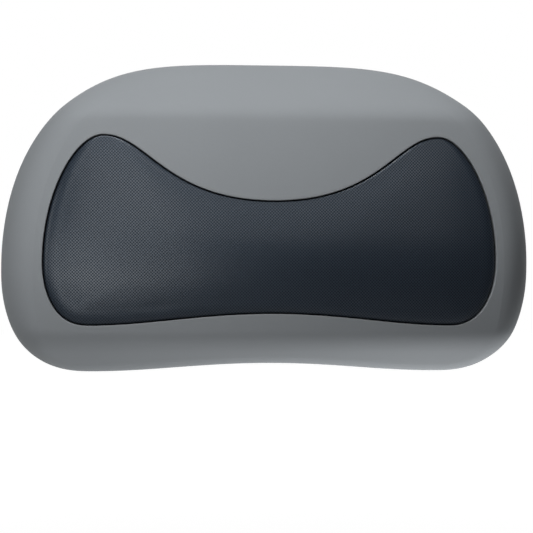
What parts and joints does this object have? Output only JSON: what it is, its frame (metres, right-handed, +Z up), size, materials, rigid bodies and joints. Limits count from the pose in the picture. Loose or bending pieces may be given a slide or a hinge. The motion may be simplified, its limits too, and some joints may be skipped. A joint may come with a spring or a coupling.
{
  "type": "hot tub headrest",
  "caption": "Moulded foam spa headrest with a sloped top, rolled edges and an inset embossed pad, held on the tub by snap pins that pull out of flanged sockets.",
  "frame": {"origin": "on the anchor plate's flat back face, midway between the two pins; that face and the gaskets lie on the tub's shell", "axes": "+X across the headrest to the right as its front is seen, +Y out of the back along the pins into the tub's shell, +Z up"},
  "size_m": [0.3, 0.0962, 0.175],
  "materials": {
    "grey_foam": "matte",
    "dark_vinyl": "satin",
    "soft_foam": "matte",
    "board": "matte",
    "black_plastic": "satin",
    "grey_plastic": "satin",
    "stainless": "satin",
    "black_rubber": "matte"
  },
  "bodies": {
    "tub_sockets": {"socket_left": "grey_plastic", "socket_right": "grey_plastic", "socket_gasket_left": "black_rubber", "socket_gasket_right": "black_rubber", "socket_nut_left": "black_plastic", "socket_nut_right": "black_plastic", "snap_ring_left": "black_rubber", "snap_ring_right": "black_rubber"},
    "headrest": {"cushion_body": "grey_foam", "pad_cover": "dark_vinyl", "pad_foam": "soft_foam", "pad_board": "board", "anchor_plate": "black_plastic", "pin_left": "grey_plastic", "pin_right": "grey_plastic", "pin_screw_left": "stainless", "pin_screw_right": "stainless", "pin_washer_left": "stainless", "pin_washer_right": "stainless"}
  },
  "joints": [
    {"name": "pull_off", "type": "slide", "parent": "tub_sockets", "child": "headrest", "axis": [0, -1, 0], "range_m": [0, 0.045], "deforming": ["snap_ring_left", "snap_ring_right"]}
  ]
}
